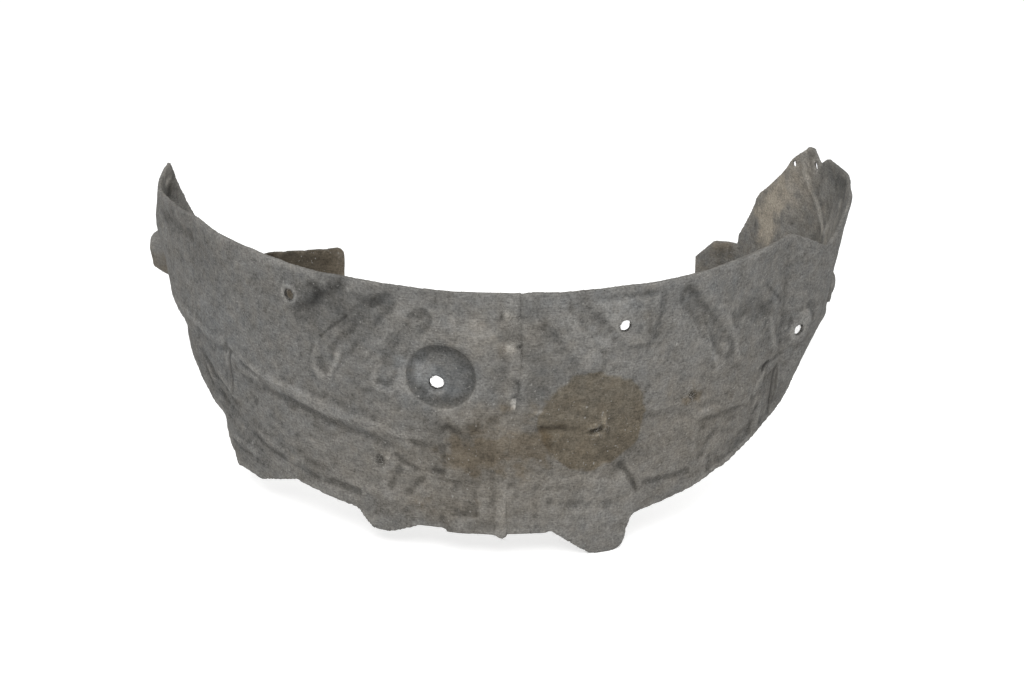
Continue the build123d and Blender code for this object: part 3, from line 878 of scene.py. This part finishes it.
def felt_shell(node, name, seam_side):
    """One half as soft felt in place of its CAD node, with what loose fibres need of it."""
    shell = remeshed(node, name, seam_side)
    mesh = shell.data
    pairs = collect(mesh, "edges", "vertices", 2, np.int64)
    points, normals = rounded_points(mesh, pairs)
    across, back, height = 1000 * points.T
    turn = np.arctan2(across, -back)
    reach = np.hypot(across, back)
    flat = np.column_stack((arch_radius * turn, height))
    outward = np.column_stack((np.sin(turn), -np.cos(turn), np.zeros(len(turn))))
    facing = (normals * outward).sum(axis=1)
    skin = np.where(facing > skin_facing, 1, np.where(facing < -skin_facing, -1, 0))
    body_side = ramp(facing, *side_facing)
    moulded = blurred(eased(reach, pairs, skin, mould_rounds), flat, pairs, skin) + relief(flat)
    moulded += waves(flat, *body_ripples) * body_side + waves(flat, *wheel_ripples) * (1 - body_side)
    turn, moulded, height = seam_drawn_in(turn, moulded, height, flat, seam_side)
    turn, height = outline_shifted(turn, height, flat)
    height = height + waves(flat, *outline_waves) * ramp(height, *foot_fade)
    points = np.column_stack((moulded * np.sin(turn), -moulded * np.cos(turn), height)) / 1000
    mesh.vertices.foreach_set("co", points.ravel())
    mesh.polygons.foreach_set("use_smooth", np.ones(len(mesh.polygons), bool))
    mesh.update()
    normals = collect(mesh, "vertices", "normal", 3)
    half = {"shell": shell, "points": points, "normals": normals, "flat": flat, "facing": facing}
    paint(half, pairs, skin, body_side)
    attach(shell, "root")
    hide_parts(node)
    return half


class Shades:
    """Short ways to add nodes to one material."""

    def __init__(self, name, gloss):
        self.material = bpy.data.materials.new(name)
        self.material.use_nodes = True
        self.tree = self.material.node_tree
        self.shader = self.tree.nodes["Principled BSDF"]
        roughness, specular = gloss
        self.shader.inputs["Roughness"].default_value = roughness
        self.shader.inputs["Specular IOR Level"].default_value = specular

    def join(self, socket, value):
        """Link a socket to an output, or set it to a plain value."""
        if isinstance(value, bpy.types.NodeSocket):
            self.tree.links.new(value, socket)
        else:
            socket.default_value = value

    def math(self, operation, *values):
        """Result of one sum."""
        made = self.tree.nodes.new("ShaderNodeMath")
        made.operation = operation
        for socket, value in zip(made.inputs, values):
            self.join(socket, value)
        return made.outputs[0]

    def object_place(self):
        """Place of the surface in the part's own frame."""
        return self.tree.nodes.new("ShaderNodeTexCoord").outputs["Object"]

    def layer(self, name, output="Fac"):
        """Values or places painted on the mesh."""
        made = self.tree.nodes.new("ShaderNodeAttribute")
        made.attribute_name = name
        return made.outputs[output]

    def times(self, vector, factors):
        """Place or colour with each of its parts times its own factor."""
        made = self.tree.nodes.new("ShaderNodeVectorMath")
        made.operation = "MULTIPLY"
        self.join(made.inputs[0], vector)
        made.inputs[1].default_value = factors
        return made.outputs[0]

    def toned(self, color, value):
        """Colour made darker or paler."""
        made = self.tree.nodes.new("ShaderNodeVectorMath")
        made.operation = "SCALE"
        self.join(made.inputs[0], color)
        self.join(made.inputs["Scale"], value)
        return made.outputs[0]

    def distance(self, places, middle):
        """Distance of places from a middle."""
        made = self.tree.nodes.new("ShaderNodeVectorMath")
        made.operation = "DISTANCE"
        self.join(made.inputs[0], places)
        made.inputs[1].default_value = middle
        return made.outputs["Value"]

    def noise(self, places, scale, detail, rough):
        """Clouded noise about one half."""
        made = self.tree.nodes.new("ShaderNodeTexNoise")
        self.join(made.inputs["Vector"], places)
        for name, value in (("Scale", scale), ("Detail", detail), ("Roughness", rough)):
            made.inputs[name].default_value = value
        return made.outputs["Fac"]

    def step(self, value, start, end):
        """Smooth step from 0 to 1."""
        made = self.tree.nodes.new("ShaderNodeMapRange")
        made.interpolation_type = "SMOOTHSTEP"
        self.join(made.inputs["Value"], value)
        made.inputs["From Min"].default_value = start
        made.inputs["From Max"].default_value = end
        return made.outputs["Result"]

    def blend(self, share, first, second):
        """Mixture of two colours."""
        made = self.tree.nodes.new("ShaderNodeMix")
        made.data_type = "RGBA"
        self.join(made.inputs[0], share)
        self.join(made.inputs[6], first)
        self.join(made.inputs[7], second)
        return made.outputs[2]

    def uneven(self, value, noise, amount):
        """Value made uneven by a noise about one half."""
        return self.math("MULTIPLY_ADD", self.math("SUBTRACT", noise, 0.5), amount, value)

    def summed(self, start, noises, weights):
        """Sum of noises times their weights, where a noise of one half adds nothing."""
        total = start - 0.5 * sum(weights.values())
        for name, weight in weights.items():
            total = self.math("MULTIPLY_ADD", noises[name], weight, total)
        return total


def bare_color(felt, spot, mottle, mottled):
    """Mottled grey of the bare felt, paler on worn ridges, with painted shade in the hollows."""
    # Real marks, and painted shade and highlights of the moulding, from the stored layer
    shade = felt.math("MAXIMUM", felt.math("ADD", felt.layer("shade"), 1), darkest_shade)
    level = felt.math("MULTIPLY", mottled, shade)
    tint = felt.math("SUBTRACT", felt.layer("warm"), hue_middle)
    hue = felt.math("MULTIPLY_ADD", felt.noise(spot, *hue_noise), hue_uneven, tint)
    color = felt.toned(felt.blend(felt.step(hue, *hue_step), cool_felt, warm_felt), level)
    worn = felt.math("MULTIPLY", felt.layer("ridge"), felt.step(mottle, *worn_step))
    color = felt.blend(felt.math("MULTIPLY", worn, worn_share), color, felt.toned(worn_felt, mottled))
    # Painted shade in the hollows
    hollow = felt.math("MULTIPLY", felt.layer("hollow"), hollow_shade)
    return felt.toned(color, felt.math("ADD", hollow, 1))


def dirty_color(felt, flat, cloud, mottle, mottled, color):
    """Colour with mud, the round stain, and the wheel side's dust and sand."""
    wheel_side = felt.layer("wheel_side")
    mud = felt.step(felt.uneven(felt.layer("mud"), mottle, mud_uneven), *mud_step)
    color = felt.blend(felt.math("MULTIPLY", mud, mud_share), color, felt.times(color, mud_film))
    away = felt.distance(felt.times(flat, (1, 1, 0)), (*place(*stain_place) / 1000, 0))
    border = [(stain_radius + shift) / 1000 for shift in stain_border]
    dry = felt.step(felt.uneven(away, mottle, stain_uneven / 1000), *border)
    wet = felt.math("MULTIPLY", felt.math("SUBTRACT", 1, dry), felt.math("SUBTRACT", 1, wheel_side))
    color = felt.blend(wet, color, felt.times(color, stain_film))
    dust = felt.math("MULTIPLY", wheel_side, felt.step(cloud, *dust_step))
    color = felt.blend(felt.math("MULTIPLY", dust, dust_share), color, felt.times(color, dust_film))
    sand = felt.uneven(felt.layer("sand"), mottle, sand_uneven)
    return felt.blend(felt.step(sand, *sand_step), color, felt.toned(sand_color, mottled))


def felt_material():
    """Grey needle felt, mottled, fibrous, stained and muddy, with painted shade and highlights."""
    felt = Shades("felt", felt_gloss)
    spot = felt.object_place()
    flat = felt.layer("flat", "Vector")
    cloud = felt.noise(spot, *cloud_noise)
    mottle = felt.noise(spot, *mottle_noise)
    noises = {
        "cloud": cloud,
        "mottle": mottle,
        "grain": felt.noise(spot, *grain_noise),
        "lying": felt.noise(felt.times(flat, lying_stretch), *fibre_noise),
        "standing": felt.noise(felt.times(flat, standing_stretch), *fibre_noise),
        "streak": felt.noise(felt.times(flat, streak_stretch), *streak_noise),
    }
    mottled = felt.summed(1, noises, color_weights)
    color = bare_color(felt, spot, mottle, mottled)
    color = dirty_color(felt, flat, cloud, mottle, mottled, color)
    color = felt.blend(felt.math("MULTIPLY", felt.layer("cut_edge"), edge_share), color, edge_felt)
    flecks = felt.step(felt.noise(spot, *fleck_noise), *fleck_step)
    color = felt.blend(felt.math("MULTIPLY", flecks, fleck_share), color, fleck_color)
    felt.join(felt.shader.inputs["Base Color"], color)
    bump = felt.tree.nodes.new("ShaderNodeBump")
    bump.inputs["Strength"].default_value = bump_strength
    bump.inputs["Distance"].default_value = bump_depth
    felt.join(bump.inputs["Height"], felt.summed(0, noises, bump_weights))
    felt.join(felt.shader.inputs["Normal"], bump.outputs["Normal"])
    return felt.material


def fray_weights(half):
    """Weights of one half's points for fibres of each kind."""
    flat = half["flat"]
    edge = 1.0 - ramp(np.abs(half["facing"]), *fray_edge)
    body = ramp(half["facing"], *fray_body)
    torn = np.zeros(len(flat))
    for name, size in frayed_spots.items():
        torn += body * spot_weight(flat, marks_and_painted_light_spots[name][0], size, size)
    torn += seam_fray * body * line_weight(flat, seam_line, seam_fray_width)
    holes = np.zeros(len(flat))
    for mount in bores:
        gap = 1000 * np.linalg.norm(half["points"] - np.array(mount["pos_m"]), axis=1)
        holes += edge * (gap < mount["dims"]["r_mm"] + hole_fray)
    return {"edge": edge, "body": body, "torn": torn, "holes": holes}


def fibre_roots(halves, chance):
    """Points that fibres grow from, and the felt's directions there."""
    starts, normals = [], []
    for half in halves:
        weights = fray_weights(half)
        for kind, count in fibre_counts.items():
            weight = weights[kind]
            if weight.sum() < 1:
                continue
            roots = chance.choice(len(weight), count, p=weight / weight.sum())
            starts.append(half["points"][roots])
            normals.append(half["normals"][roots])
    return np.concatenate(starts), np.concatenate(normals)


def fibre_points(start, normal, chance):
    """Points of each fibre, section by section from root to tip."""
    count = len(start)
    stray = chance.normal(size=(count, 3))
    rise = (stray * normal).sum(axis=1)[:, None]
    way = stray - fibre_flatness * rise * normal + fibre_lift * normal
    way /= np.linalg.norm(way, axis=1)[:, None]
    curl = fibre_curl * chance.normal(size=(count, 3))
    length = fibre_length / 1000 * chance.uniform(*fibre_spread, count)[:, None]
    side = np.cross(way, normal + fibre_skew)
    side /= np.linalg.norm(side, axis=1)[:, None]
    third = np.cross(way, side)
    points = []
    for share, width in fibre_sections:
        middle = start + length * (share * way + 0.5 * share**2 * curl)
        for step in range(fibre_sides):
            corner = 2 * pi * step / fibre_sides
            offset = cos(corner) * side + sin(corner) * third
            points.append(middle + width * fibre_thickness / 2000 * offset)
    return np.stack(points, axis=1)


def loose_fibres(halves):
    """Loose fibres of the cut edges, the face, the welds, the tears and the holes."""
    chance = np.random.default_rng(fibre_seed)
    start, normal = fibre_roots(halves, chance)
    fibres = fibre_points(start, normal, chance)
    fibres = fibres[fibres[:, :, 2].min(axis=1) > 0]
    sides = []
    for section in range(len(fibre_sections) - 1):
        for step in range(fibre_sides):
            low = fibre_sides * section + step
            high = fibre_sides * section + (step + 1) % fibre_sides
            sides.append((low, high, high + fibre_sides, low + fibre_sides))
    each = fibres.shape[1]
    ends = (range(fibre_sides)[::-1], range(each - fibre_sides, each))
    first = each * np.arange(len(fibres))[:, None, None]
    walls = (first + np.array(sides)).reshape(-1, 4)
    caps = (first + np.array(ends)).reshape(-1, fibre_sides)
    mesh = bpy.data.meshes.new("loose_fibres")
    mesh.from_pydata(fibres.reshape(-1, 3).tolist(), [], walls.tolist() + caps.tolist())
    piece = linked("loose_fibres", mesh)
    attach(piece, "root")
    return piece


def fibre_material():
    """Loose fibre, from dark to pale."""
    fibre = Shades("fibre", fibre_gloss)
    share = fibre.step(fibre.noise(fibre.object_place(), *loose_noise), *loose_step)
    fibre.join(fibre.shader.inputs["Base Color"], fibre.blend(share, dark_fibre, pale_fibre))
    return fibre.material


def stage_floor():
    """Plain pale floor, white to the camera, that keeps the shadow."""
    mesh = bpy.data.meshes.new("floor")
    low, high = -floor_half, floor_half
    corners = [(low, low, 0), (high, low, 0), (high, high, 0), (low, high, 0)]
    mesh.from_pydata(corners, [], [(0, 1, 2, 3)])
    floor = linked("floor", mesh)
    ground = Shades("floor", floor_gloss)
    ground.shader.inputs["Base Color"].default_value = (*floor_color, 1)
    ground.shader.inputs["Emission Color"].default_value = white
    path = ground.tree.nodes.new("ShaderNodeLightPath")
    seen = ground.math("MAXIMUM", path.outputs["Is Camera Ray"], path.outputs["Is Glossy Ray"])
    seen = ground.math("MAXIMUM", seen, path.outputs["Is Transmission Ray"])
    ground.join(ground.shader.inputs["Emission Strength"], ground.math("MULTIPLY", seen, floor_glow))
    mesh.materials.append(ground.material)


def studio_light():
    """Even pale surroundings and one large soft lamp from above."""
    world = bpy.data.worlds.new("studio")
    bpy.context.scene.world = world
    world.use_nodes = True
    sky = world.node_tree.nodes["Background"]
    sky.inputs["Color"].default_value = white
    sky.inputs["Strength"].default_value = sky_strength
    lamp_data = bpy.data.lights.new("key", "AREA")
    lamp_data.size = lamp_size
    lamp_data.energy = lamp_energy
    lamp = linked("key", lamp_data)
    lamp.location = lamp_place
    aim = Vector(lamp_aim) - Vector(lamp_place)
    lamp.rotation_euler = aim.to_track_quat("-Z", "Y").to_euler()


def photo_camera():
    """Camera at the photograph's place and angle."""
    data = bpy.data.cameras.new("camera")
    data.lens = camera_lens
    data.sensor_width = camera_sensor
    camera = linked("camera", data)
    tilt = Matrix.Rotation(radians(camera_tilt), 4, "X")
    roll = Matrix.Rotation(radians(camera_roll), 4, "Z")
    camera.matrix_world = Matrix.Translation(camera_place) @ tilt @ roll
    bpy.context.scene.camera = camera


felt = felt_material()
front_felt = felt_shell("front_half_shell", "front_felt", -1)
rear_felt = felt_shell("rear_half_shell", "rear_felt", 1)
for half in (front_felt, rear_felt):
    half["shell"].data.materials.append(felt)
fibres = loose_fibres((front_felt, rear_felt))
fibres.data.materials.append(fibre_material())
stage_floor()
studio_light()
photo_camera()

bpy.context.scene.view_settings.view_transform = "Standard"
